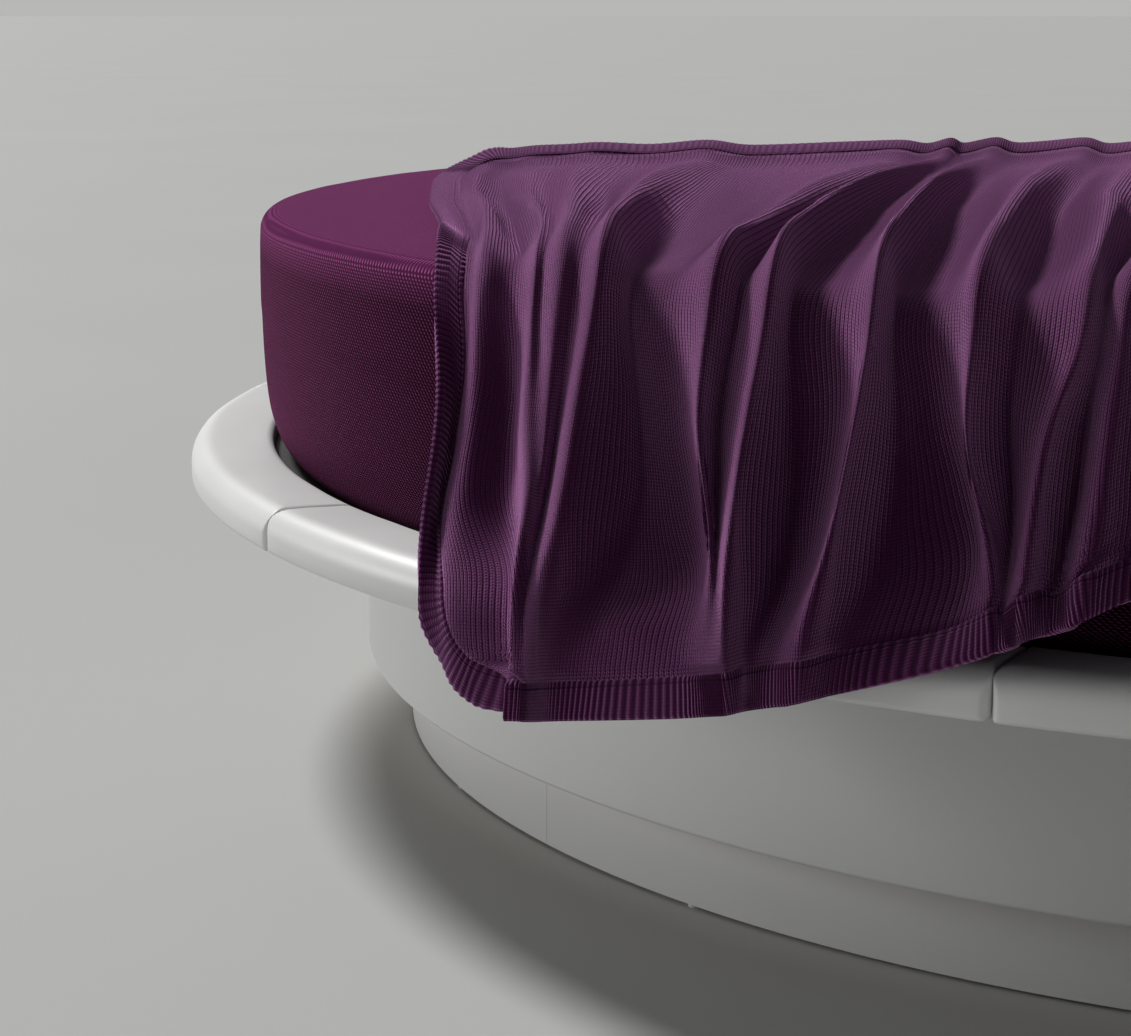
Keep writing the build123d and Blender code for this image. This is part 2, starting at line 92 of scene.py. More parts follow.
# Side of the foam core from its foot up, without the foot itself: (reach, height)
CORE_FOOT_RADIUS = 1157.0
CORE_SIDE = ((1180.5, 324.3), (1191.5, 373.3), (1194.5, 440), (1195.7, TOPPER_FLOOR))

# Throw
THROW_LIE = 1.0
THROW_THICKNESS = 5.0
BORDER_WIDTH = 32.0
BORDER_LAP = 2.0
BORDER_RIB = 5.0
BORDER_SEAM = 4.0
BORDER_SEAM_WIDTH = 2.8
CORNER_ROUND = 92.0

# Patterns of the cloths, and the heights over which the painted highlight on the mattress cover's
# top fades in
PIQUE_DASH = 5.4
PIQUE_ROW = 2.8
STITCH_WIDTH = 3.4
STITCH_HEIGHT = 2.6
TOP_HIGHLIGHT_START = 505.0
TOP_HIGHLIGHT_FULL = 545.0

# Natural unevenness of stretched leather, a stuffed cover and knitted cloth: (size, height).
# The cover is even in the middle of its top and at its foot, and its top less uneven.
LEATHER_WAVES = ((90, 0.8), (35, 0.25))
COVER_WAVES = ((210, 1.1), (70, 0.35))
KNIT_WAVES = ((75, 1.3), (24, 0.4))
EVEN_MIDDLE = 60.0
EVEN_FOOT = 30.0
TOP_SHARE = 0.6


def hex_colour(text):
    """An sRGB hex colour as the linear values that shaders take."""
    channels = []
    for place in (0, 2, 4):
        value = int(text[place:place + 2], 16) / 255
        channels.append(value / 12.92 if value <= 0.04045 else ((value + 0.055) / 1.055) ** 2.4)
    return (*channels, 1.0)


def per_metre(size):
    """How many of a size in millimetres go into a metre, as the scale of a pattern."""
    return 1 / (size * MM)


def add(tree, kind, *inputs, **settings):
    """Adds one shader node with its settings. Its inputs come in the order of the sockets in use,
    or by name in one dictionary. A node among them is linked by its first output in use, and a
    text is a colour."""
    node = tree.nodes.new("ShaderNode" + kind)
    for name, value in settings.items():
        setattr(node, name, value)
    if inputs and isinstance(inputs[0], dict):
        pairs = [(node.inputs[name], value) for name, value in inputs[0].items()]
    else:
        pairs = list(zip([socket for socket in node.inputs if socket.enabled], inputs))
    for socket, value in pairs:
        if isinstance(value, bpy.types.Node):
            value = next(output for output in value.outputs if output.enabled)
        if isinstance(value, str):
            value = hex_colour(value)
        if isinstance(value, bpy.types.NodeSocket):
            tree.links.new(value, socket)
        else:
            socket.default_value = value
    return node


def new_material(name):
    """A material with an empty node tree, and where a point lies on the object."""
    material = bpy.data.materials.new(name)
    material.use_nodes = True
    tree = material.node_tree
    tree.nodes.clear()
    return material, tree, add(tree, "TexCoord").outputs["Object"]


def close_surface(material, sockets):
    """Adds the surface shader, with what goes into its sockets, and the output."""
    tree = material.node_tree
    add(tree, "OutputMaterial", {"Surface": add(tree, "BsdfPrincipled", sockets)})
    return material


# Materials, each named for what the real one is

def white_lacquer():
    """Satin polyurethane lacquer sprayed on bent plywood: a soft sheen over faint orange peel."""
    material, tree, place = new_material("white_satin_lacquer")
    peel = add(tree, "TexNoise", place, per_metre(3.85), 2.0)
    cloud = add(tree, "TexNoise", place, per_metre(455), 3.0)
    tint = add(tree, "Mix", cloud, "DCDCDA", "E6E6E4", data_type="RGBA")
    gloss = add(tree, "Math", cloud, 0.1, 0.36, operation="MULTIPLY_ADD")
    wave = add(tree, "Bump", {"Height": cloud, "Distance": 1.2 * MM, "Strength": 0.25})
    skin = add(tree, "Bump", {"Height": peel, "Distance": 0.06 * MM, "Strength": 0.6,
                              "Normal": wave})
    return close_surface(material, {"Base Color": tint, "Roughness": gloss, "IOR": 1.5,
                                    "Normal": skin})


def white_leather():
    """Smooth corrected-grain leather stretched over thin foam: fine pores, soft highlight.
    The pores are drawn 1.6 mm apart, coarser than real ones, so that they show."""
    material, tree, place = new_material("white_smooth_leather")
    grain = add(tree, "TexVoronoi", place, per_metre(1.6), feature="DISTANCE_TO_EDGE")
    pores = add(tree, "MapRange", {"Value": grain, "From Max": 0.18})
    cloud = add(tree, "TexNoise", place, per_metre(200), 3.0)
    tint = add(tree, "Mix", cloud, "DEDEDC", "EBEBE9", data_type="RGBA")
    gloss = add(tree, "Math", cloud, 0.12, 0.34, operation="MULTIPLY_ADD")
    soft = add(tree, "Bump", {"Height": cloud, "Distance": 1.5 * MM, "Strength": 0.3})
    skin = add(tree, "Bump", {"Height": pores, "Distance": 0.05 * MM, "Strength": 0.45,
                              "Normal": soft})
    return close_surface(material, {"Base Color": tint, "Roughness": gloss, "IOR": 1.48,
                                    "Normal": skin})


def plywood(name, low, high, glue):
    """Sanded plywood: long narrow figure, and thin dark glue lines every 1.5 mm on its edges."""
    material, tree, place = new_material(name)
    figure_scale = (per_metre(111), per_metre(11.9), per_metre(11.9))
    long = add(tree, "Mapping", {"Vector": place, "Scale": figure_scale})
    figure = add(tree, "TexNoise", long, 1.0, 5.0)
    height = add(tree, "SeparateXYZ", place).outputs["Z"]
    plies = add(tree, "Math", height, 1.5 * MM, operation="DIVIDE")
    ply = add(tree, "Math", plies, operation="FRACT")
    line = add(tree, "Math", ply, 0.14, operation="LESS_THAN")
    facing = add(tree, "SeparateXYZ", add(tree, "NewGeometry").outputs["True Normal"]).outputs["Z"]
    flatness = add(tree, "Math", facing, operation="ABSOLUTE")
    edge = add(tree, "Math", flatness, 0.5, operation="LESS_THAN")
    shade = add(tree, "Math", line, edge, operation="MULTIPLY")
    shade = add(tree, "Math", shade, 0.55, operation="MULTIPLY")
    wood = add(tree, "Mix", figure, low, high, data_type="RGBA")
    tint = add(tree, "Mix", shade, wood, glue, data_type="RGBA")
    grain = add(tree, "Bump", {"Height": figure, "Distance": 0.2 * MM, "Strength": 0.5})
    return close_surface(material, {"Base Color": tint, "Roughness": 0.6, "Normal": grain})


def zinc_steel():
    """Zinc plated pressed steel: dull bright metal with faint spangle."""
    material, tree, place = new_material("zinc_plated_steel")
    spangle = add(tree, "TexNoise", place, per_metre(5.56), 2.0)
    tint = add(tree, "Mix", spangle, "A9ABAE", "C4C6C9", data_type="RGBA")
    gloss = add(tree, "Math", spangle, 0.14, 0.28, operation="MULTIPLY_ADD")
    return close_surface(material, {"Base Color": tint, "Metallic": 1.0, "Roughness": gloss})


def moulded_plastic(name, low, high):
    """Moulded plastic, matt and slightly mottled."""
    material, tree, place = new_material(name)
    mottle = add(tree, "TexNoise", place, per_metre(1.11), 2.0)
    tint = add(tree, "Mix", mottle, low, high, data_type="RGBA")
    skin = add(tree, "Bump", {"Height": mottle, "Distance": 0.05 * MM, "Strength": 0.6})
    return close_surface(material, {"Base Color": tint, "Roughness": 0.6, "Normal": skin})


def open_foam(name, low, high):
    """Open cell polyurethane foam: pale and matt with small dark pores. The cells are drawn
    2.2 mm apart, coarser than real ones, so that they show."""
    material, tree, place = new_material(name)
    cells = add(tree, "TexVoronoi", place, per_metre(2.2))
    tint = add(tree, "Mix", cells, low, high, data_type="RGBA")
    pores = add(tree, "Bump", {"Height": cells, "Distance": 0.8 * MM, "Strength": 0.8})
    return close_surface(material, {"Base Color": tint, "Roughness": 0.95, "Normal": pores})


def pique_cloth():
    """Coarse polyester pique: small raised dashes, 5.4 mm long in rows of 2.8 mm, each row stepped
    by a little under half a dash so that they drift into zigzags. The brushed dashes catch a pink
    sheen, most of all on the top. The ground between the dashes is painted dark as painted shade.
    The top and its rounded edge are painted lighter and pinker than the side, a painted highlight
    of the light that falls on the top."""
    material, tree, place = new_material("plum_pique_cloth")
    flat = add(tree, "SeparateXYZ", add(tree, "UVMap", uv_map="cloth"))
    across = add(tree, "Math", flat.outputs["X"], PIQUE_DASH * MM, operation="DIVIDE")
    up = add(tree, "Math", flat.outputs["Y"], PIQUE_ROW * MM, operation="DIVIDE")
    row = add(tree, "Math", up, operation="FLOOR")
    stepped = add(tree, "Math", row, 0.46, across, operation="MULTIPLY_ADD")
    x = add(tree, "Math", add(tree, "Math", stepped, operation="FRACT"), 0.5, operation="SUBTRACT")
    y = add(tree, "Math", add(tree, "Math", up, operation="FRACT"), 0.5, operation="SUBTRACT")
    y = add(tree, "Math", x, 0.5, y, operation="MULTIPLY_ADD")
    far_x = add(tree, "Math", x, x, operation="MULTIPLY")
    far_y = add(tree, "Math", y, y, operation="MULTIPLY")
    far_y = add(tree, "Math", far_y, 7.5, operation="MULTIPLY")
    far = add(tree, "Math", far_x, 5.2, far_y, operation="MULTIPLY_ADD")
    dash = add(tree, "Clamp", add(tree, "Math", 1.0, far, operation="SUBTRACT"))
    level = add(tree, "SeparateXYZ", place).outputs["Z"]
    # Painted highlight mask: 0 on the side, rising to 1 over the rounded edge onto the top
    top_highlight = add(tree, "MapRange", {"Value": level, "From Min": TOP_HIGHLIGHT_START * MM,
                                       "From Max": TOP_HIGHLIGHT_FULL * MM})
    yarn = add(tree, "TexNoise", place, per_metre(1.43), 2.0)
    cloud = add(tree, "TexNoise", place, per_metre(250), 3.0)
    # Painted shade: the ground between the dashes is coloured far darker than the dashes
    ground = add(tree, "Mix", yarn, "10020C", "1A0514", data_type="RGBA")
    # Painted highlight: towards the top the ground and the dashes turn lighter and pinker, for the
    # light that falls there
    ground = add(tree, "Mix", top_highlight, ground, "501C46", data_type="RGBA")
    raised = add(tree, "Mix", cloud, "420A30", "4A0F38", data_type="RGBA")
    raised = add(tree, "Mix", top_highlight, raised, "A04A8A", data_type="RGBA")
    tint = add(tree, "Mix", dash, ground, raised, data_type="RGBA")
    nap = add(tree, "Math", dash, 0.75, 0.25, operation="MULTIPLY_ADD")
    brushed = add(tree, "Math", top_highlight, 0.35, 0.65, operation="MULTIPLY_ADD")
    return close_surface(material, {
        "Base Color": tint, "Roughness": 0.6, "Specular IOR Level": 0.0,
        "Sheen Weight": add(tree, "Math", nap, brushed, operation="MULTIPLY"),
        "Sheen Roughness": 0.45, "Sheen Tint": "FF98D8",
        "Normal": add(tree, "Bump", {"Height": dash, "Distance": 1.2 * MM, "Strength": 1.0})})


def base_weave():
    """Plain woven polyester under the mattress, with rubber dots 16 mm apart. The weave is drawn
    at 1.5 mm, coarser than the real one, so that it shows."""
    material, tree, place = new_material("plum_base_cloth")
    dots = add(tree, "TexVoronoi", place, per_metre(16))
    dots = add(tree, "Math", dots, 0.16, operation="LESS_THAN")
    weave = add(tree, "TexChecker", {"Vector": place, "Scale": per_metre(1.5)}).outputs["Fac"]
    cloth = add(tree, "Mix", weave, "3A1A32", "4A2640", data_type="RGBA")
    tint = add(tree, "Mix", dots, cloth, "22161E", data_type="RGBA")
    raised = add(tree, "Bump", {"Height": dots, "Distance": 0.6 * MM, "Strength": 0.6})
    return close_surface(material, {"Base Color": tint, "Roughness": 0.9, "Normal": raised})


def knit_yarn(material, place, height, depth):
    """What all the knitted parts share: plum wool with a soft halo of fibres, which gives it a pale
    mauve sheen on the strands. The gaps between the strands and the grooves, where the height is
    low, are painted dark as painted shade."""
    tree = material.node_tree
    fuzz = add(tree, "TexNoise", place, per_metre(1.92), 3.0)
    cloud = add(tree, "TexNoise", place, per_metre(111), 3.0)
    yarn = add(tree, "Mix", cloud, "420F3B", "4B1443", data_type="RGBA")
    fibres = add(tree, "Math", fuzz, 0.35, operation="MULTIPLY")
    yarn = add(tree, "Mix", fibres, yarn, "6A2E62", data_type="RGBA")
    # Painted shade: where the height falls, in the gaps and grooves, the colour goes to near black
    tint = add(tree, "Mix", height, "15040F", yarn, data_type="RGBA")
    rough = add(tree, "Bump", {"Height": fuzz, "Distance": 0.6 * MM, "Strength": 0.6})
    return close_surface(material, {
        "Base Color": tint, "Roughness": 0.7, "Specular IOR Level": 0.0,
        "Sheen Weight": add(tree, "Math", height, 0.65, 0.35, operation="MULTIPLY_ADD"),
        "Sheen Roughness": 0.5, "Sheen Tint": "FBB2F4",
        "Normal": add(tree, "Bump", {"Height": height, "Distance": depth * MM, "Strength": 1.0,
                                     "Normal": rough})})


def even_waves(tree, along, spacing, wave, depth):
    """Even waves along a direction, one in each spacing, as high as 1 and twice the depth deep."""
    turn = add(tree, "Math", along, 2 * math.pi * per_metre(spacing), operation="MULTIPLY")
    swell = add(tree, "Math", turn, operation=wave)
    return add(tree, "Math", swell, depth, 1 - depth, operation="MULTIPLY_ADD")


def stocking_stitch():
    """Stocking stitch in wool: columns of small V shapes, each leg a slanting strand."""
    material, tree, place = new_material("mauve_stocking_stitch")
    flat = add(tree, "SeparateXYZ", add(tree, "UVMap", uv_map="cloth"))
    column = add(tree, "Math", flat.outputs["X"], STITCH_WIDTH * MM, operation="DIVIDE")
    column = add(tree, "Math", column, operation="FRACT")
    side = add(tree, "Math", column, 0.5, operation="SUBTRACT")
    side = add(tree, "Math", side, operation="ABSOLUTE")
    slant = add(tree, "Math", side, 1.1 * STITCH_HEIGHT * MM, flat.outputs["Y"],
                operation="MULTIPLY_ADD")
    strand = even_waves(tree, slant, STITCH_HEIGHT, "SINE", 0.16)
    leg = add(tree, "Math", side, 0.17, operation="SUBTRACT")
    leg = add(tree, "Math", leg, leg, operation="MULTIPLY")
    leg = add(tree, "Math", leg, -8.5, 1.0, operation="MULTIPLY_ADD")
    height = add(tree, "Clamp", add(tree, "Math", strand, leg, operation="MULTIPLY"))
    return knit_yarn(material, place, height, 1.0)


def rib_stitch():
    """One by one rib: round ribs with deep grooves, square to the edge of the throw, and the
    groove of the seam that joins them to its body."""
    material, tree, place = new_material("mauve_rib_stitch")
    flat = add(tree, "SeparateXYZ", add(tree, "UVMap", uv_map="cloth"))
    rib = even_waves(tree, flat.outputs["X"], BORDER_RIB, "COSINE", 0.3)
    knit = even_waves(tree, flat.outputs["Y"], STITCH_HEIGHT, "SINE", 0.1)
    height = add(tree, "Math", rib, knit, operation="MULTIPLY")
    far = add(tree, "Math", flat.outputs["Y"], BORDER_SEAM * MM, operation="SUBTRACT")
    far = add(tree, "Math", far, operation="ABSOLUTE")
    seam = add(tree, "MapRange", {"Value": far, "From Max": BORDER_SEAM_WIDTH / 2 * MM})
    seam = add(tree, "Math", seam, 0.65, 0.35, operation="MULTIPLY_ADD")
    height = add(tree, "Math", height, seam, operation="MULTIPLY")
    return knit_yarn(material, place, height, 1.2)


def studio_floor():
    """Pale matt studio floor, very slightly uneven in tone."""
    material, tree, place = new_material("pale_studio_floor")
    cloud = add(tree, "TexNoise", place, per_metre(1430), 2.0)
    tint = add(tree, "Mix", cloud, "BBBBB9", "C1C1BF", data_type="RGBA")
    return close_surface(material, {"Base Color": tint, "Roughness": 0.7})


# Meshes

def finish_piece(name, mesh_edit, material, body, smooth=True):
    """Turns a finished bmesh in millimetres into a piece that rides on a body."""
    bmesh.ops.scale(mesh_edit, vec=(MM, MM, MM), verts=mesh_edit.verts)
    mesh = bpy.data.meshes.new(name)
    mesh_edit.to_mesh(mesh)
    mesh_edit.free()
    mesh.materials.append(material)
    mesh.polygons.foreach_set("use_smooth", [smooth] * len(mesh.polygons))
    piece = bpy.data.objects.new(name, mesh)
    bpy.context.scene.collection.objects.link(piece)
    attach(piece, body)
    return piece


def quarter(centre, radius, start, end, steps):
    """Points of an arc in a section, given as (reach, height), angles in degrees."""
    points = []
    for step in range(steps + 1):
        turn = math.radians(start + (end - start) * step / steps)
        points.append((centre[0] + radius * math.cos(turn), centre[1] + radius * math.sin(turn)))
    return points


def run(start, end, steps):
    """Points of a straight line in a section, its ends among them."""
    wide, high = end[0] - start[0], end[1] - start[1]
    return [(start[0] + wide * step / steps, start[1] + high * step / steps)
            for step in range(steps + 1)]


def uneven(spot, waves, offset=Vector((0, 0, 0))):
    """Unevenness at a spot, the sum of waves that each have a size and a height."""
    return sum(noise.noise(spot / size + offset) * height for size, height in waves)


def crown_height(reach):
    """Height of the mattress top, a shallow ball cap that meets the rounded edge."""
    ball = (SHOULDER ** 2 + MATTRESS_CROWN ** 2) / (2 * MATTRESS_CROWN)
    fall = ball - np.sqrt(ball ** 2 - np.minimum(reach, SHOULDER) ** 2)
    return MATTRESS_EDGE_TOP + MATTRESS_CROWN - fall


def spun(section, steps):
    """A section of (reach, height) points spun a full turn about the upright axis."""
    made = bmesh.new()
    verts = [made.verts.new((reach, 0, height)) for reach, height in section]
    edges = [made.edges.new(pair) for pair in zip(verts, verts[1:])]
    bmesh.ops.spin(made, geom=verts + edges, cent=(0, 0, 0), axis=(0, 0, 1),
                   angle=2 * math.pi, steps=steps, use_merge=True)
    bmesh.ops.remove_doubles(made, verts=made.verts, dist=0.01)
    bmesh.ops.recalc_face_normals(made, faces=made.faces)
    return made


# Ledge: ten padded leather segments with rounded ends

def pad_section():
    """Section of one pad: crowned top, rolled outer edge, lip wrapped under the board."""
    inner_top = LEDGE_TOP - LEDGE_CROWN
    inner_low = inner_top - LEDGE_INNER_ROUND
    outer_low = LEDGE_LOW + LEDGE_LOW_ROUND
    points = run((LEDGE_INNER_RADIUS, LEDGE_BOARD_TOP), (LEDGE_INNER_RADIUS, inner_low), 2)
    points += quarter((LEDGE_INNER_RADIUS + LEDGE_INNER_ROUND, inner_low),
                      LEDGE_INNER_ROUND, 180, 90, 5)[1:]
    start = points[-1][0]
    crown_steps = 8
    for step in range(1, crown_steps + 1):
        share = step / crown_steps
        points.append((start + (ROLL_RADIUS - start) * share,
                       inner_top + LEDGE_CROWN * math.sin(share * math.pi / 2)))
    points += quarter((ROLL_RADIUS, ROLL_LOW), LEDGE_TOP_ROUND, 90, 0, 9)[1:]
    points += run((LEDGE_RADIUS, ROLL_LOW), (LEDGE_RADIUS, outer_low), 2)[1:]
    points += quarter((LEDGE_RADIUS - LEDGE_LOW_ROUND, outer_low), LEDGE_LOW_ROUND, 0, -90, 4)[1:]
    points += run(points[-1], (LEDGE_LIP_RADIUS, LEDGE_LOW), 3)[1:]
    points += [(LEDGE_LIP_RADIUS, LEDGE_BOARD_UNDER), (LEDGE_BOARD_RADIUS, LEDGE_BOARD_UNDER),
               (LEDGE_BOARD_RADIUS, LEDGE_BOARD_TOP)]
    return points


def round_pad_end(vert, sweep, seed):
    """Draws a point near a pad's end in towards its middle, and makes the leather uneven."""
    reach = math.hypot(vert.co.x, vert.co.y)
    angle = math.atan2(vert.co.y, vert.co.x)
    if reach <= LEDGE_BOARD_RADIUS + 1 and vert.co.z <= LEDGE_BOARD_TOP + 1:
        return
    depth = max(0.0, PAD_END_ROUND - min(angle, sweep - angle) * LEDGE_RADIUS)
    inset = PAD_END_ROUND - math.sqrt(max(0.0, PAD_END_ROUND ** 2 - depth ** 2))
    shrunk = min(max(reach, LEDGE_INNER_RADIUS + inset), LEDGE_RADIUS - inset)
    level = max(min(vert.co.z, LEDGE_TOP - inset), LEDGE_LOW + inset)
    if vert.co.z > LEDGE_BOARD_TOP + LEDGE_INNER_ROUND:
        level += uneven(vert.co, LEATHER_WAVES, seed)
    vert.co = Vector((shrunk * math.cos(angle), shrunk * math.sin(angle), level))


def make_pad(number, leather):
    """One pad of the ledge: its section swept between two ends that get finer steps."""
    made = bmesh.new()
    face = made.faces.new([made.verts.new((reach, 0, height)) for reach, height in pad_section()])
    sweep = 2 * math.pi / PAD_COUNT - PAD_GAP / LEDGE_RADIUS
    ends = [PAD_END_ROUND * (1 - math.cos(math.radians(turn))) / LEDGE_RADIUS
            for turn in PAD_END_TURNS]
    rounds = [(high - low, 1) for low, high in zip(ends, ends[1:])]
    last = [face] + list(face.edges) + list(face.verts)
    for angle, steps in rounds + [(sweep - 2 * ends[-1], PAD_STEPS)] + rounds[::-1]:
        turned = bmesh.ops.spin(made, geom=last, cent=(0, 0, 0), axis=(0, 0, 1),
                                angle=angle, steps=steps)
        last = turned["geom_last"]
    seed = Vector((number * PAD_SHIFT, 0, 0))
    for vert in made.verts:
        round_pad_end(vert, sweep, seed)
    bmesh.ops.recalc_face_normals(made, faces=made.faces)
    start = math.radians(PAD_SEAM) + number * 2 * math.pi / PAD_COUNT + PAD_GAP / LEDGE_RADIUS / 2
    bmesh.ops.rotate(made, verts=made.verts, cent=(0, 0, 0), matrix=Matrix.Rotation(start, 3, "Z"))
    pad = finish_piece(f"ledge_pad_{number + 1:02d}", made, leather, "platform")
    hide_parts(f"rim_pad_{number + 1:02d}")


# Mattress

def smooth_through(places, values, wanted):
    """A smooth curve through points that never swings past them; one column per value."""
    x = np.asarray(places, float)
    y = np.asarray(values, float)
    y = y[:, None] if y.ndim == 1 else y
    width = np.diff(x)[:, None]
    rise = np.diff(y, axis=0) / width
    slope = np.zeros_like(y)
    slope[0], slope[-1] = rise[0], rise[-1]
    before, after = rise[:-1], rise[1:]
    level = before * after > 0
    heavy, light = 2 * width[1:] + width[:-1], width[1:] + 2 * width[:-1]
    safe_before, safe_after = np.where(level, before, 1), np.where(level, after, 1)
    even = (heavy + light) / (heavy / safe_before + light / safe_after)
    slope[1:-1] = np.where(level, even, 0)
    at = np.clip(np.asarray(wanted, float), x[0], x[-1])
    k = np.clip(np.searchsorted(x, at, side="right") - 1, 0, len(x) - 2)
    span = (x[k + 1] - x[k])[:, None]
    t = (at - x[k])[:, None] / span
    return ((2 * t ** 3 - 3 * t ** 2 + 1) * y[k] + (t ** 3 - 2 * t ** 2 + t) * span * slope[k]
            + (3 * t ** 2 - 2 * t ** 3) * y[k + 1] + (t ** 3 - t ** 2) * span * slope[k + 1])


def crown_points(steps, below=0.0):
    """Points of the crowned top from the middle out to where the edge starts to round."""
    reaches = [SHOULDER * step / steps for step in range(steps + 1)]
    return [(reach, float(crown_height(reach)) - below) for reach in reaches]


def cover_section():
    """Half section of the covered mattress from the crown down to its foot and base cloth."""
    points = crown_points(36) + quarter((SHOULDER, EDGE_LOW), MATTRESS_ROUND, 90, 0, 10)[1:]
    steps = np.linspace(0, len(COVER_SIDE), 34)
    side = smooth_through(np.arange(len(COVER_SIDE) + 1), [points[-1], *COVER_SIDE], steps)
    points += [tuple(point) for point in side[1:]]
    floor = MATTRESS_FLOOR + BASE_CLOTH + 2 * BASE_GAP
    inner = BASE_CLOTH_RADIUS + 3 * BASE_GAP
    return points + [(inner, MATTRESS_FLOOR + BASE_GAP), (inner, floor), (0.0, floor)]


def lay_cloth_map(made):
    """The weave lies straight across the top and round the side, in real metres."""
    layer = made.loops.layers.uv.new("cloth")
    seam = math.radians(CLOTH_SEAM)
    along = Vector((-math.sin(seam), math.cos(seam), 0))
    out = Vector((math.cos(seam), math.sin(seam), 0))
    for face in made.faces:
        middle = face.calc_center_median()
        reach = math.hypot(middle.x, middle.y)
        on_top = middle.z > MATTRESS_EDGE_TOP - 1 and reach < SHOULDER
        turn = math.atan2(middle.y, middle.x)
        for loop in face.loops:
            spot = loop.vert.co
            if on_top:
                loop[layer].uv = (spot.dot(along) * MM, -(spot.dot(out) - MATTRESS_RADIUS) * MM)
                continue
            angle = math.atan2(spot.y, spot.x)
            angle += 2 * math.pi * round((turn - angle) / (2 * math.pi))
            inward = max(0.0, MATTRESS_RADIUS - math.hypot(spot.x, spot.y))
            fall = MATTRESS_EDGE_TOP - spot.z + inward
            loop[layer].uv = ((angle - seam) * MATTRESS_RADIUS * MM, -fall * MM)


def make_mattress():
    """The stuffed cover of the mattress."""
    made = spun(cover_section(), MATTRESS_STEPS)
    for vert in made.verts:
        reach = math.hypot(vert.co.x, vert.co.y)
        if reach > EVEN_MIDDLE and vert.co.z > MATTRESS_FLOOR + EVEN_FOOT:
            turn = math.atan2(max(vert.co.z - EDGE_LOW, 0.0), max(reach - SHOULDER, 1e-6))
            out = Vector((vert.co.x, vert.co.y, 0)) * (math.cos(turn) / reach)
            up = Vector((0, 0, TOP_SHARE * math.sin(turn)))
            vert.co += (out + up) * uneven(vert.co, COVER_WAVES)
    lay_cloth_map(made)
    mattress = finish_piece("mattress", made, pique_cloth(), "mattress_set")
    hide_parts("mattress_cover")


def make_filling(name, section, material, node):
    """One block of foam inside the cover."""
    block = finish_piece(name, spun(section, FILLING_STEPS), material, "mattress_set", False)
    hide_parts(node)


def make_fillings():
    """The firm core with its drawn-in foot, and the soft topper with the crown of the cover."""
    foot = MATTRESS_FLOOR + BASE_CLOTH + 2 * BASE_GAP + FILL_GAP
    core = [(0.0, foot), (CORE_FOOT_RADIUS, foot), *CORE_SIDE, (0.0, TOPPER_FLOOR)]
    make_filling("foam_core", core, open_foam("firm_foam", "C9C2A8", "DDD7C0"),
                 "mattress_core")
    under = COVER + FILL_GAP + 3 * BASE_GAP
    arc = quarter((SHOULDER, EDGE_LOW), MATTRESS_ROUND - under, 90, 0, 6)[1:]
    floor = TOPPER_FLOOR + BASE_GAP / 2
    topper = [(0.0, floor), (TOPPER_RADIUS, floor)] + arc[::-1] + crown_points(12, under)[::-1]
    make_filling("foam_topper", topper, open_foam("soft_foam", "DDD8C8", "EEEADD"),
                 "mattress_topper")


def make_base_cloth():
    """The flat cloth under the core, sewn to the cover all round."""
    disc = bmesh.new()
    bmesh.ops.create_circle(disc, cap_ends=True, cap_tris=False, segments=160,
                            radius=BASE_CLOTH_RADIUS)
    solid = bmesh.ops.extrude_face_region(disc, geom=disc.faces[:])
    raised = [item for item in solid["geom"] if isinstance(item, bmesh.types.BMVert)]
    bmesh.ops.translate(disc, vec=(0, 0, BASE_CLOTH - 2 * BASE_GAP), verts=raised)
    bmesh.ops.translate(disc, vec=(0, 0, MATTRESS_FLOOR + BASE_GAP), verts=disc.verts)
    bmesh.ops.recalc_face_normals(disc, faces=disc.faces)
    cloth = finish_piece("base_cloth", disc, base_weave(), "mattress_set", False)
    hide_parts("mattress_base_cloth")


# Throw: a knitted sheet whose fold lines run from the hem, over the mattress edge, to its far end

# Where the throw hangs, for a valley and for a full ridge: (height, reach)
HUG = ((200, 1283), (288, 1283), (300, 1281.5), (309, 1278), (318, 1271), (330, 1259), (350, 1241),
       (375, 1226), (400, 1217), (430, 1211), (460, 1209), (530, 1208))
RIDGE = ((200, 1304), (280, 1304), (320, 1303), (350, 1300), (385, 1289),
         (430, 1273), (480, 1257), (530, 1244))
HANG_SHARES = (0.0, 0.25, 0.5, 0.75, 1.0)
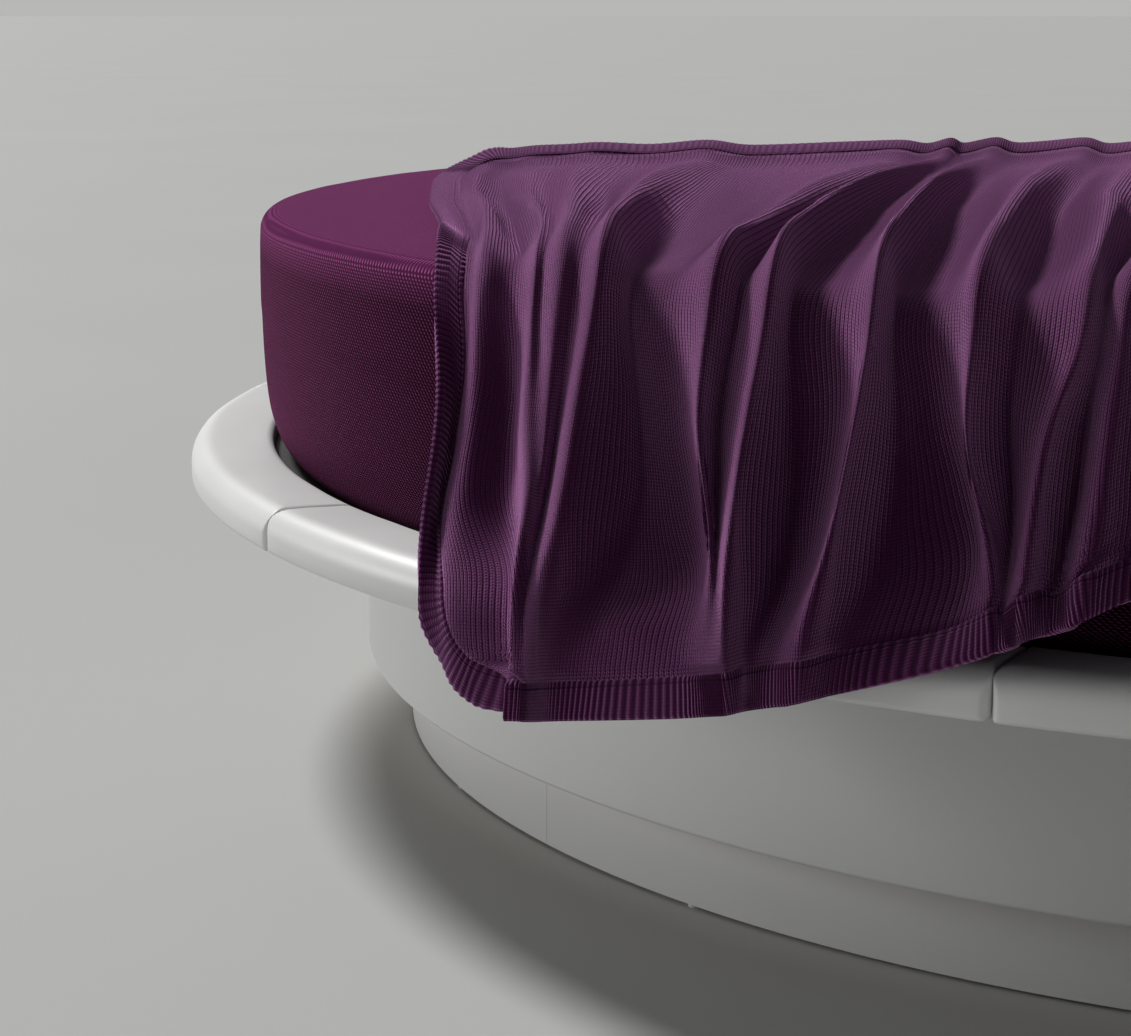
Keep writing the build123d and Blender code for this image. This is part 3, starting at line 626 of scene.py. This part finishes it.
# Each fold line: angle at five heights from the hem up, how far it stands out at each,
# its place along the far end, and how high it stands just past the edge, halfway and at the end
FOLDS = (
    ((-94.2, -94.4, -95.1, -96.0, -97.8), (0.45, 0.55, 0.65, 0.6, 0.5), -0.1, (0.3, 0.1, 0.06)),
    ((-93.4, -93.8, -95.9, -96.3, -96.3), (0.1, 0.15, 0.2, 0.15, 0.1), -0.06, (0.05, 0.05, 0.05)),
    ((-92.6, -92.8, -94.1, -94.5, -94.9), (0.35, 0.5, 0.55, 0.5, 0.5), -0.03, (0.75, 0.45, 0.13)),
    ((-89.9, -90.1, -92.7, -93.7, -93.7), (0.0, 0.0, 0.1, 0.0, 0.05), 0.0, (0.0, 0.07, 0.05)),
    ((-89.1, -88.8, -88.9, -90.4, -91.4), (1.35, 1.25, 1.05, 0.9, 0.7), 0.045, (0.65, 0.45, 0.12)),
    ((-89.0, -88.7, -88.8, -90.2, -91.6), (1.2, 1.1, 0.95, 0.75, 0.4), 0.075, (0.4, 0.35, 0.12)),
    ((-88.8, -88.5, -88.7, -89.4, -89.9), (1.15, 1.0, 0.85, 0.85, 0.9), 0.115, (1.0, 0.7, 0.17)),
    ((-88.6, -88.5, -88.9, -89.4, -89.5), (1.1, 0.95, 0.7, 0.6, 0.55), 0.17, (0.5, 0.35, 0.07)),
    ((-88.3, -88.1, -87.2, -87.6, -87.8), (1.1, 1.05, 1.1, 1.1, 1.1), 0.235, (1.05, 0.72, 0.18)),
    ((-86.7, -86.5, -86.6, -87.2, -87.6), (0.4, 0.05, 0.0, 0.0, 0.05), 0.28, (0.0, 0.0, 0.02)),
    ((-82.5, -82.8, -84.3, -85.6, -85.8), (0.4, 0.05, 0.0, 0.0, 0.1), 0.37, (0.15, 0.25, 0.09)),
    ((-81.3, -81.5, -81.9, -82.8, -83.0), (0.6, 0.55, 0.75, 0.95, 0.95), 0.43, (0.8, 0.58, 0.13)),
    ((-80.9, -81.2, -82.3, -83.2, -82.8), (0.7, 0.6, 0.4, 0.15, 0.05), 0.45, (0.0, 0.0, 0.02)),
    ((-80.2, -80.4, -80.5, -80.7, -80.6), (0.95, 1.0, 1.1, 1.1, 1.1), 0.475, (1.1, 0.76, 0.18)),
    ((-79.9, -80.0, -80.3, -80.6, -80.8), (0.5, 0.1, 0.0, 0.0, 0.0), 0.487, (0.0, 0.0, 0.02)),
    ((-79.0, -79.2, -79.3, -79.2, -79.3), (0.5, 0.1, 0.0, 0.0, 0.05), 0.5, (0.2, 0.22, 0.09)),
    ((-78.0, -77.6, -77.0, -76.9, -76.8), (0.95, 1.0, 1.1, 1.1, 1.1), 0.52, (1.1, 0.76, 0.18)),
    ((-76.7, -76.7, -76.7, -76.7, -76.9), (0.4, 0.1, 0.0, 0.0, 0.0), 0.54, (0.0, 0.0, 0.02)),
    ((-73.4, -73.4, -74.0, -74.9, -75.2), (0.4, 0.1, 0.0, 0.0, 0.05), 0.575, (0.2, 0.25, 0.09)),
    ((-71.8, -72.1, -72.7, -73.4, -73.4), (0.75, 0.65, 0.95, 1.1, 1.05), 0.61, (1.1, 0.76, 0.18)),
    ((-71.6, -71.9, -72.4, -72.7, -72.5), (0.7, 0.4, 0.05, 0.0, 0.0), 0.63, (0.0, 0.0, 0.02)),
    ((-70.9, -71.0, -70.9, -70.8, -69.9), (0.85, 0.85, 0.95, 0.9, 0.85), 0.67, (0.9, 0.58, 0.13)),
    ((-70.2, -70.3, -70.2, -70.1, -69.6), (0.6, 0.2, 0.0, 0.0, 0.3), 0.7, (0.1, 0.0, 0.02)),
    ((-69.3, -69.2, -69.0, -69.0, -68.8), (0.9, 0.9, 0.95, 0.85, 0.75), 0.74, (0.75, 0.58, 0.13)),
    ((-67.7, -67.6, -67.5, -67.6, -67.9), (0.5, 0.3, 0.05, 0.0, 0.0), 0.77, (0.0, 0.0, 0.02)),
    ((-66.9, -66.8, -66.7, -66.6, -66.6), (0.9, 0.9, 1.0, 1.0, 0.9), 0.82, (0.9, 0.65, 0.13)),
    ((-65.6, -65.5, -65.4, -65.3, -65.3), (0.4, 0.1, 0.0, 0.0, 0.0), 0.85, (0.0, 0.0, 0.02)),
    ((-64.4, -64.3, -64.3, -64.2, -64.1), (0.9, 0.9, 1.0, 1.0, 0.9), 0.89, (0.9, 0.65, 0.13)),
    ((-63.0, -63.0, -63.0, -62.9, -62.9), (0.4, 0.1, 0.0, 0.0, 0.0), 0.94, (0.0, 0.0, 0.02)),
    ((-61.6, -61.6, -61.7, -61.7, -61.7), (0.7, 0.7, 0.8, 0.8, 0.7), 0.97, (0.6, 0.43, 0.09)),
    ((-60.5, -60.5, -60.6, -60.6, -60.6), (0.2, 0.2, 0.1, 0.0, 0.0), 0.985, (0.0, 0.0, 0.05)),
    ((-59.0, -59.0, -59.1, -59.1, -59.2), (0.0, 0.15, 0.15, 0.0, 0.0), 1.0, (0.0, 0.0, 0.05)),
)
# How far the lines swing sideways on the top: (share of the way to the far end, distance)
SWING = ((0.0, 0), (0.1, 1), (0.25, 6), (0.5, 16), (0.75, 16), (1.0, 0))
# Far end of the throw on the top of the mattress: (share of its width, x, y), and its curl
FAR_END = ((-0.1, -985, -470), (0.0, -950, -400), (0.2, -850, -215), (0.4, -690, -20),
           (0.6, -520, 170), (0.8, -240, 250), (1.0, 60, 280))
FAR_CURL = 24.0
FAR_CURL_LENGTH = 70.0
# Where on the top a line's heights are given, the first of them at the edge, as shares of its way
RISE_SHARES = (0.0, 0.12, 0.5, 1.0)
# The hem: its height where it starts, its slopes, and where it turns up
HEM_REACH = 1290.0
HEM_LOW = 225.0
HEM_START = 27.0
HEM_BEND = 487.0
HEM_SLOPE = 0.11
HEM_CURVE = 0.00045
HEM_END_SLOPE = 0.25
# How much further than its thickness the cloth stays off the mattress and the ledge
LINE_CLEARANCE = 1.0
TOP_CLEARANCE = 0.7
SIDE_CLEARANCE = 1.2
# How far a full ridge stands out beside the mattress edge and above it, how much a line leans
# towards its far end while it bends over the edge, and over what length its bend is eased
RIDGE_SIDE = 30.0
RIDGE_TOP = 46.0
EDGE_LEAN = 0.8
EASE_VALLEY = 6.0
EASE_RIDGE = 24.0
EASE_STEP = 3.0
# How finely a line is drawn where it hangs, over the edge and on the top
HANG_POINTS = 200
BEND_POINTS = 40
TOP_POINTS = 260
# The grid that the lines are drawn out to, and how it is rounded off
HANG_ROWS = 90
TOP_ROWS = 190
TOP_BUNCHING = 1.2
COLUMNS = 600
ROUND_PASSES = 30
ROUND_ROWS = 0.2
ROUND_COLUMNS = 0.5
# Bands at the border, and up the hanging part, that keep their real width
TRUE_BAND = 60.0
TRUE_HANG = 380.0
# Columns and rows of the mesh, and where its rows lie, which are closer over the mattress edge
BODY_COLUMNS = 300
BODY_ROWS = 150
BODY_ROW_SHARES = ((0.0, 0.28, 0.45, 1.0), (0.0, 0.24, 0.36, 1.0))
# Section of the knitted border: distance out from the body, and height over its middle
BORDER_SECTION = ((-2.5, 0.0), (0.5, 3.1), (4, 3.5), (15, 3.2), (27, 3.3), (32, 2.4), (34, 0.0),
                  (32, -2.4), (26, -3.0), (14, -2.9), (3, -2.9), (-2.5, 0.0))
RIB_POINTS = 4
RIB_SWELL = 0.14
RIB_EDGE = 0.7
BORDER_LIFT = 0.6


def hem_height(x):
    """The hem rises to the right, gently and then faster."""
    near = np.clip(x - HEM_START, 0, HEM_BEND - HEM_START)
    end = np.maximum(x - HEM_BEND, 0)
    return HEM_LOW + HEM_SLOPE * (x - HEM_START) + HEM_CURVE * near ** 2 + HEM_END_SLOPE * end


def lengths(points):
    """Distance along a polyline at each of its points."""
    return np.concatenate(([0.0], np.cumsum(np.linalg.norm(np.diff(points, axis=0), axis=1))))


def evenly(points, shares):
    """Points of a polyline at shares of its length."""
    along = lengths(points)
    return np.column_stack([np.interp(shares * along[-1], along, points[:, axis])
                            for axis in range(3)])


def curve(table, wanted):
    """A smooth curve through rows that each give a place and then its values."""
    return smooth_through([row[0] for row in table], [row[1:] for row in table], wanted)


def fold_path(fold):
    """One fold line as a dense polyline, in two parts: what hangs, and what lies on the top."""
    angles, stands, far, rises = fold
    rest = THROW_THICKNESS + THROW_LIE + LINE_CLEARANCE
    low = float(hem_height(HEM_REACH * math.cos(math.radians(angles[0]))))
    shares = np.linspace(0, 1, HANG_POINTS)
    turn = np.radians(smooth_through(HANG_SHARES, angles, shares)[:, 0])
    stand = smooth_through(HANG_SHARES, stands, shares)[:, 0]
    level = low + (EDGE_LOW - low) * shares
    hug, out = curve(HUG, level)[:, 0], curve(RIDGE, level)[:, 0]
    reach = hug + (out - hug) * stand
    hang = np.column_stack((reach * np.cos(turn), reach * np.sin(turn), level))
    tilt = np.radians(np.linspace(0, 90, BEND_POINTS))[1:]
    ridge = RIDGE_SIDE + (RIDGE_TOP - RIDGE_SIDE) * np.sin(tilt)
    offset = MATTRESS_ROUND + rest + stands[-1] * ridge
    bend_reach = SHOULDER + offset * np.cos(tilt)
    outward = np.array((math.cos(turn[-1]), math.sin(turn[-1])))
    leftward = np.array((outward[1], -outward[0]))
    end = curve(FAR_END, [far])[0]
    away = end - SHOULDER * outward
    lean = EDGE_LEAN * float(away @ leftward) / -float(away @ outward)
    slip = lean * (bend_reach[0] - bend_reach)
    bend = np.column_stack((bend_reach[:, None] * outward + slip[:, None] * leftward,
                            EDGE_LOW + offset * np.sin(tilt)))
    start = bend[-1, :2]
    shares = np.linspace(0, 1, TOP_POINTS)[1:]
    way = (end - start) / np.linalg.norm(end - start)
    flat = start + (end - start) * shares[:, None]
    flat += curve(SWING, shares) * np.array((-way[1], way[0]))
    rise = smooth_through(RISE_SHARES, (stands[-1], *rises), shares)[:, 0]
    end_gap = (1 - shares) * np.linalg.norm(end - start)
    curl = FAR_CURL * np.maximum(1 - end_gap / FAR_CURL_LENGTH, 0) ** 1.6
    height = crown_height(np.hypot(flat[:, 0], flat[:, 1])) + rest
    top = np.column_stack((flat, height + RIDGE_TOP * rise + curl))
    return softened(np.vstack((hang, bend, top)), len(hang) + len(bend) // 2,
                    EASE_VALLEY + (EASE_RIDGE - EASE_VALLEY) * min(stands[-1], 1.0))


def softened(path, corner, ease):
    """A polyline rounded over a length along it, in two parts that meet where its point of
    number corner was."""
    along = lengths(path)
    count = int(along[-1] / EASE_STEP)
    even = evenly(path, np.linspace(0, 1, count))
    width = ease / EASE_STEP
    reach = int(3 * width) + 1
    weights = np.exp(-0.5 * (np.arange(-reach, reach + 1) / width) ** 2)
    weights /= weights.sum()
    before, after = 2 * even[0] - even[reach:0:-1], 2 * even[-1] - even[-2:-reach - 2:-1]
    longer = np.vstack((before, even, after))
    soft = np.column_stack([np.convolve(longer[:, axis], weights, "valid") for axis in range(3)])
    middle = int(round(along[corner] / along[-1] * (count - 1)))
    return soft[:middle + 1], soft[middle:]


def clear_of_round(reach, level, near, centre, radius):
    """Pushes the points that are near a rounded edge out to at least a radius from its centre."""
    dx, dz = reach - centre[0], level - centre[1]
    size = np.maximum(np.hypot(dx, dz), 1e-6)
    grow = np.where(near & (size < radius), radius / size, 1.0)
    return (np.where(near, centre[0] + dx * grow, reach),
            np.where(near, centre[1] + dz * grow, level))


def clear_of_bed(cloth):
    """Pushes any point that is too near the mattress or the ledge out to where it rests."""
    rest = THROW_THICKNESS + THROW_LIE
    old_reach = np.hypot(cloth[..., 0], cloth[..., 1])
    level = cloth[..., 2]
    on_top = old_reach < SHOULDER
    crown = crown_height(old_reach) + rest + TOP_CLEARANCE
    level = np.where(on_top, np.maximum(level, crown), level)
    corner = (old_reach >= SHOULDER) & (level >= EDGE_LOW)
    reach, level = clear_of_round(old_reach, level, corner, (SHOULDER, EDGE_LOW),
                                  MATTRESS_ROUND + rest)
    side = (~corner) & (~on_top) & (level < EDGE_LOW) & (level > LEDGE_TOP + rest)
    beside = MATTRESS_RADIUS + SIDE_CLEARANCE + rest
    reach = np.where(side, np.maximum(reach, beside), reach)
    over = (~on_top) & (level <= LEDGE_TOP + rest) & (reach < ROLL_RADIUS)
    level = np.where(over, LEDGE_TOP + rest, level)
    roll = (reach >= ROLL_RADIUS) & (level >= ROLL_LOW) & (level < EDGE_LOW)
    reach, level = clear_of_round(reach, level, roll, (ROLL_RADIUS, ROLL_LOW),
                                  LEDGE_TOP_ROUND + rest)
    below = (level < ROLL_LOW) & (level > LEDGE_LOW)
    reach = np.where(below, np.maximum(reach, LEDGE_RADIUS + rest), reach)
    share = reach / np.maximum(old_reach, 1e-6)
    return np.dstack((cloth[..., 0] * share, cloth[..., 1] * share, level))


def throw_sheet():
    """The whole throw as rows and columns of points, with its real width and length."""
    hang_shares = np.linspace(0, 1, HANG_ROWS)
    top_shares = np.linspace(0, 1, TOP_ROWS + 1)[1:] ** TOP_BUNCHING
    lines = []
    for fold in FOLDS:
        hang, top = fold_path(fold)
        lines.append(np.vstack((evenly(hang, hang_shares), evenly(top, top_shares))))
    lines = np.array(lines)
    gaps = np.linalg.norm(np.diff(lines, axis=0), axis=2).mean(axis=1)
    knots = np.concatenate(([0.0], np.cumsum(gaps)))
    wanted = np.linspace(0, knots[-1], COLUMNS)
    rows = lines.transpose(1, 0, 2)
    cloth = np.array([smooth_through(knots, row, wanted) for row in rows])
    for _ in range(ROUND_PASSES):
        middle = (cloth[:-2] + cloth[2:]) / 2
        cloth[1:-1] += (middle - cloth[1:-1]) * ROUND_ROWS
        middle = (cloth[:, :-2] + cloth[:, 2:]) / 2
        cloth[:, 1:-1] += (middle - cloth[:, 1:-1]) * ROUND_COLUMNS
    cloth = clear_of_bed(cloth)
    cloth, width = true_edges(cloth, TRUE_BAND, 1.0)
    cloth, length = true_edges(cloth.transpose(1, 0, 2), TRUE_HANG, 0.0)
    return cloth.transpose(1, 0, 2), width, length


def true_edges(cloth, near, follow):
    """Spaces each row anew, so that a band at both ends keeps its real width. Between them the
    points are spaced evenly, or stay with the fold lines where follow is 1."""
    totals = np.array([lengths(row)[-1] for row in cloth])
    flat = totals.mean()
    far = flat - TRUE_BAND
    places = np.linspace(0, flat, cloth.shape[1])
    rows = []
    for row, total in zip(cloth, totals):
        between = total - near - TRUE_BAND
        middle = near + (places - near) * between / (far - near)
        own = lengths(row)
        first, last = np.interp((near, far), places, own)
        own = near + (own - first) / (last - first) * between
        middle += (own - middle) * follow
        spots = np.where(places > far, total - flat + places, middle)
        spots = np.where(places < near, places, spots)
        rows.append(evenly(row, spots / total))
    return np.array(rows), flat


class Cloth:
    """Places a flat point of the throw, in millimetres, on its draped shape."""

    def __init__(self):
        self.points, self.width, self.length = throw_sheet()
        down = np.gradient(self.points, axis=0)
        over = np.gradient(self.points, axis=1)
        normal = np.cross(over, down)
        self.normals = normal / np.maximum(np.linalg.norm(normal, axis=2, keepdims=True), 1e-9)

    def at(self, u, v):
        """Points and outward normals at flat places u across and v along."""
        rows, columns = self.points.shape[:2]
        column = np.clip(u / self.width, 0, 1) * (columns - 1)
        row = np.clip(v / self.length, 0, 1) * (rows - 1)
        c = np.minimum(column.astype(int), columns - 2)
        r = np.minimum(row.astype(int), rows - 2)
        s, t = (column - c)[:, None], (row - r)[:, None]
        found = []
        for grid in (self.points, self.normals):
            found.append((grid[r, c] * (1 - s) + grid[r, c + 1] * s) * (1 - t)
                         + (grid[r + 1, c] * (1 - s) + grid[r + 1, c + 1] * s) * t)
        found[1] /= np.maximum(np.linalg.norm(found[1], axis=1, keepdims=True), 1e-9)
        return found


def set_cloth_map(made, flat):
    """The stitches follow the flat places of the cloth, in real metres."""
    layer = made.loops.layers.uv.new("cloth")
    made.verts.index_update()
    for face in made.faces:
        for loop in face.loops:
            loop[layer].uv = flat[loop.vert.index] * MM


def make_throw():
    """The body of the throw inside its border, on a grid that narrows at the round corners."""
    cloth = Cloth()
    inner = BORDER_WIDTH - BORDER_LAP
    made = bmesh.new()
    bmesh.ops.create_grid(made, x_segments=BODY_COLUMNS, y_segments=BODY_ROWS, size=0.5)
    u_share = np.array([vert.co.x + 0.5 for vert in made.verts])
    v_share = np.array([vert.co.y + 0.5 for vert in made.verts])
    v = inner + smooth_through(*BODY_ROW_SHARES, v_share)[:, 0] * (cloth.length - 2 * inner)
    end = np.minimum(v - inner, cloth.length - inner - v)
    radius = CORNER_ROUND - inner
    cut = radius - np.sqrt(np.maximum(radius ** 2 - np.maximum(radius - end, 0) ** 2, 0))
    u = inner + cut + u_share * (cloth.width - 2 * (inner + cut))
    points, normals = cloth.at(u, v)
    for vert, point, normal in zip(made.verts, points, normals):
        vert.co = Vector(point) + Vector(normal) * abs(uneven(Vector(point), KNIT_WAVES))
    set_cloth_map(made, np.column_stack((u, v)))
    body = finish_piece("throw", made, stocking_stitch(), "mattress_set")
    thick = body.modifiers.new("thickness", "SOLIDIFY")
    thick.thickness = THROW_THICKNESS * MM
    thick.offset = -1.0
    border = make_border(cloth, inner)
    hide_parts("throw")


def border_path(cloth, inner):
    """Flat points round the rim of the throw's body, a quarter rib apart, with the way out at
    each and its distance along, in whole ribs."""
    radius = CORNER_ROUND - inner
    left, right, low, high = inner, cloth.width - inner, inner, cloth.length - inner
    corners = ((left + radius, low + radius, 180), (right - radius, low + radius, 270),
               (right - radius, high - radius, 0), (left + radius, high - radius, 90))
    points, ways = [], []
    for x, y, start in corners:
        for turn in np.radians(np.linspace(start, start + 90, 25)):
            points.append((x + radius * math.cos(turn), y + radius * math.sin(turn)))
            ways.append((math.cos(turn), math.sin(turn)))
    points = np.array(points + points[:1])
    ways = np.array(ways + ways[:1])
    along = lengths(points)
    ribs = round(along[-1] / BORDER_RIB)
    wanted = np.linspace(0, along[-1], ribs * RIB_POINTS + 1)
    spot = np.column_stack([np.interp(wanted, along, points[:, axis]) for axis in range(2)])
    way = np.column_stack([np.interp(wanted, along, ways[:, axis]) for axis in range(2)])
    return spot, way, wanted * ribs * BORDER_RIB / along[-1]


def make_border(cloth, inner):
    """The ribbed border as a grid that follows the rim and closes round its section."""
    spot, way, along = border_path(cloth, inner)
    count, around = len(spot) - 1, len(BORDER_SECTION) - 1
    made = bmesh.new()
    bmesh.ops.create_grid(made, x_segments=count, y_segments=around, size=0.5)
    i = np.array([round((vert.co.x + 0.5) * count) for vert in made.verts])
    j = np.array([round((vert.co.y + 0.5) * around) for vert in made.verts])
    out, lift = np.array(BORDER_SECTION)[j].T
    rib = np.cos(2 * math.pi * i / RIB_POINTS)
    lift = lift * (1 + RIB_SWELL * rib) - THROW_THICKNESS / 2 + BORDER_LIFT
    edge = out > 0.9 * BORDER_WIDTH
    flat = spot[i] + way[i] * (out + RIB_EDGE * rib * edge)[:, None]
    points, normals = cloth.at(flat[:, 0], flat[:, 1])
    for vert, point, normal, rise in zip(made.verts, points, normals, lift):
        vert.co = Vector(point) + Vector(normal) * rise
    set_cloth_map(made, np.column_stack((along[i], out)))
    bmesh.ops.remove_doubles(made, verts=made.verts, dist=0.01)
    bmesh.ops.recalc_face_normals(made, faces=made.faces)
    return finish_piece("throw_border", made, rib_stitch(), "mattress_set")


# Finishes of the carried-over CAD nodes

def dress_cad_nodes():
    """Gives each node the finish of the last row that names the start of its name."""
    wood = plywood("birch_plywood", "C9A77A", "E3CBA4", "7A5836")
    # Painted shade: the rim board and deck panel are coloured near black, so that the gap between
    # the ledge and the mattress reads as shadow
    painted_shade_plywood = plywood("black_painted_shade_plywood", "1E1A1A", "2C2727", "141111")
    finishes = (
        (white_lacquer(), ("drum_panel", "plinth_panel")),
        (wood, ("hub", "base_ring", "top_ring", "rib_")),
        (painted_shade_plywood, ("rim_board", "deck_panel")),
        (zinc_steel(), ("rib_brackets", "bracket_screws", "rim_bolts", "joining", "deck_screws")),
        (moulded_plastic("white_glide_plastic", "C8C8C6", "D6D6D4"),
         ("plinth_glides", "hub_glide")),
        (moulded_plastic("plum_zip_coil", "3A1532", "4A2040"), ("mattress_zip",)),
    )
    for name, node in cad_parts.items():
        for material, starts in finishes:
            if name.startswith(starts):
                node.data.materials.clear()
                node.data.materials.append(material)


# Studio: floor, lamps and camera

FLOOR_RADIUS = 200000.0
# Lamps: (name, azimuth and height in degrees, strength, spread in degrees)
LAMPS = (("key", 176, 47, 2.6, 12), ("side", 212, 11, 0.85, 20))
LAMP_DISTANCE = 6.0
LENS = 84.02
CAMERA_PLACE = (1.4262, -2.6078, 0.7505)
CAMERA_TILT = 79.02
CAMERA_TURN = 45.9


def add_light(name, azimuth, height, strength, spread_angle):
    """A broad even light from one side, so that the whole floor is lit alike. Angles in degrees."""
    data = bpy.data.lights.new(name, "SUN")
    data.angle = math.radians(spread_angle)
    data.energy = strength
    lamp = bpy.data.objects.new(name, data)
    turn, rise = math.radians(azimuth), math.radians(height)
    flat = math.cos(rise)
    toward = Vector((math.cos(turn) * flat, math.sin(turn) * flat, math.sin(rise)))
    lamp.location = toward * LAMP_DISTANCE
    lamp.rotation_euler = toward.to_track_quat("Z", "Y").to_euler()
    bpy.context.scene.collection.objects.link(lamp)


def make_floor():
    """A round floor so wide that its rim lies near the horizon."""
    made = bmesh.new()
    bmesh.ops.create_circle(made, cap_ends=True, segments=96, radius=FLOOR_RADIUS)
    bmesh.ops.scale(made, vec=(MM, MM, MM), verts=made.verts)
    mesh = bpy.data.meshes.new("studio_floor")
    made.to_mesh(mesh)
    made.free()
    mesh.materials.append(studio_floor())
    floor = bpy.data.objects.new("studio_floor", mesh)
    bpy.context.scene.collection.objects.link(floor)


def light_world():
    """A faint even fill on the object, and a pale background for the camera and reflections."""
    world = bpy.data.worlds.new("studio")
    world.use_nodes = True
    tree = world.node_tree
    tree.nodes.clear()
    rays = add(tree, "LightPath").outputs
    seen = add(tree, "Math", rays["Is Camera Ray"], rays["Is Glossy Ray"], operation="MAXIMUM")
    fill = add(tree, "Background", "E4E6EA", 0.13)
    pale = add(tree, "Background", "B8B8B7", 1.0)
    add(tree, "OutputWorld", {"Surface": add(tree, "MixShader", seen, fill, pale)})
    bpy.context.scene.world = world


def place_camera():
    """A long lens a little above the mattress, off its front corner."""
    data = bpy.data.cameras.new("camera")
    data.lens = LENS
    data.sensor_width = 36.0
    data.clip_end = 500.0
    camera = bpy.data.objects.new("camera", data)
    camera.location = CAMERA_PLACE
    camera.rotation_euler = Euler((math.radians(CAMERA_TILT), 0, math.radians(CAMERA_TURN)))
    bpy.context.scene.collection.objects.link(camera)
    bpy.context.scene.camera = camera


dress_cad_nodes()
leather = white_leather()
for number in range(PAD_COUNT):
    make_pad(number, leather)
make_mattress()
make_fillings()
make_base_cloth()
make_throw()
make_floor()
light_world()
for lamp in LAMPS:
    add_light(*lamp)
place_camera()
bpy.context.scene.view_settings.view_transform = "Standard"
